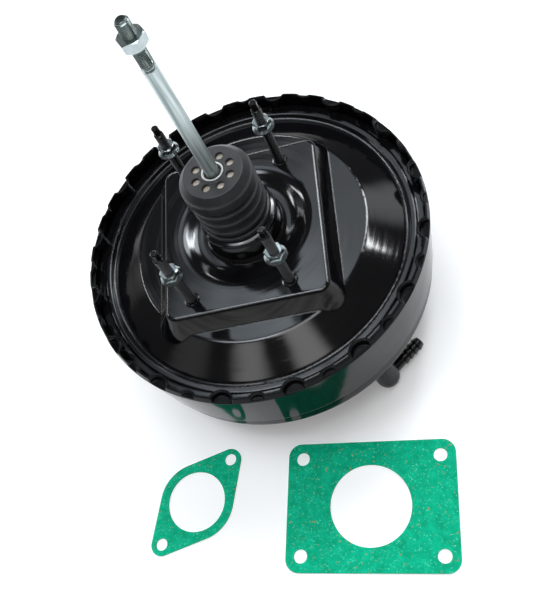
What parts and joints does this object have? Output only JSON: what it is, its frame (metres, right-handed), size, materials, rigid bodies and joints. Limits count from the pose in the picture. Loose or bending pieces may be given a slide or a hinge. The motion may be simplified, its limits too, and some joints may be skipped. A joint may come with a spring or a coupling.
{
  "type": "vacuum brake booster",
  "caption": "Round vacuum brake booster with threaded pedal rod, dust boot, firewall studs, side vacuum elbow and two loose gaskets; it multiplies brake pedal force.",
  "frame": {"origin": "on the axis, in the plane of the firewall face, inside the neck's wall", "axes": "+Z along the axis towards the pedal rod, +X along the short spacing of the firewall studs, +Y along the long spacing"},
  "size_m": [0.2919, 0.4092, 0.36],
  "materials": {
    "shell_black": "gloss",
    "stud_black": "satin",
    "zinc": "satin",
    "boot_rubber": "matte",
    "seal_rubber": "matte",
    "felt": "matte",
    "ring_plastic": "matte",
    "piston_plastic": "matte",
    "plain_steel": "satin",
    "spring_steel": "satin",
    "valve_plastic": "satin",
    "gasket_fibre": "matte"
  },
  "bodies": {
    "casing": {"rear_shell": "shell_black", "neck": "shell_black", "front_shell": "shell_black", "rear_plate": "plain_steel", "firewall_studs": "stud_black", "front_plate": "plain_steel", "master_cylinder_studs": "stud_black", "rear_seal": "seal_rubber", "rear_seal_retainer": "plain_steel", "front_seal": "seal_rubber", "front_seal_retainer": "plain_steel", "return_spring": "spring_steel", "check_valve_grommet": "seal_rubber", "dust_boot": "boot_rubber"},
    "nuts": {"flange_nuts": "zinc"},
    "piston": {"power_piston": "piston_plastic", "diaphragm_plate": "plain_steel", "diaphragm": "seal_rubber", "diaphragm_retainer": "ring_plastic", "reaction_disc": "seal_rubber", "output_rod": "plain_steel", "output_rod_retainer": "plain_steel", "output_rod_screw": "plain_steel", "stop_key": "plain_steel", "poppet_valve": "seal_rubber", "poppet_retainer": "plain_steel", "poppet_spring": "spring_steel", "filter_element": "felt", "rod_return_spring": "spring_steel"},
    "plunger": {"valve_plunger": "plain_steel"},
    "rod": {"input_rod": "zinc", "jam_nut": "zinc", "boot_ring": "ring_plastic"},
    "elbow": {"check_valve_body": "valve_plastic", "check_valve_spring": "spring_steel"},
    "valve_disc": {"check_valve_disc": "valve_plastic"},
    "flat_gasket": {"firewall_gasket": "gasket_fibre"},
    "small_gasket": {"master_cylinder_gasket": "gasket_fibre"}
  },
  "joints": [
    {"name": "piston_slide", "type": "slide", "parent": "casing", "child": "piston", "axis": [0, 0, -1], "range_m": [0, 0.028], "stiffness_N_per_m": 2500, "springref_m": -0.05, "deforming": ["return_spring", "dust_boot", "diaphragm"]},
    {"name": "valve_travel", "type": "slide", "parent": "piston", "child": "plunger", "axis": [0, 0, -1], "range_m": [0, 0.0018], "stiffness_N_per_m": 3000, "springref_m": -0.008, "deforming": ["rod_return_spring", "dust_boot"]},
    {"name": "rod_swivel", "type": "hinge", "parent": "plunger", "child": "rod", "pos_m": [0, 0, 0.0088], "axis": [1, 0, 0], "range_deg": [-2, 2], "stiffness_Nm_per_rad": 4, "deforming": ["rod_return_spring", "filter_element", "dust_boot"]},
    {"name": "nuts_off", "type": "slide", "parent": "casing", "child": "nuts", "axis": [0, 0, 1], "range_m": [0, 0.045]},
    {"name": "elbow_swivel", "type": "hinge", "parent": "casing", "child": "elbow", "pos_m": [0.07617, -0.09078, -0.096], "axis": [0.2198, -0.262, -0.9397], "range_deg": [-15, 75]},
    {"name": "check_valve_lift", "type": "slide", "parent": "elbow", "child": "valve_disc", "axis": [0.2198, -0.262, -0.9397], "range_m": [0, 0.0025], "stiffness_N_per_m": 200, "springref_m": -0.003, "deforming": ["check_valve_spring"]},
    {"name": "flat_gasket_lift", "type": "slide", "parent": "casing", "child": "flat_gasket", "axis": [0, 0, 1], "range_m": [0, 0.06]},
    {"name": "small_gasket_lift", "type": "slide", "parent": "casing", "child": "small_gasket", "axis": [0, 0, 1], "range_m": [0, 0.06]}
  ]
}
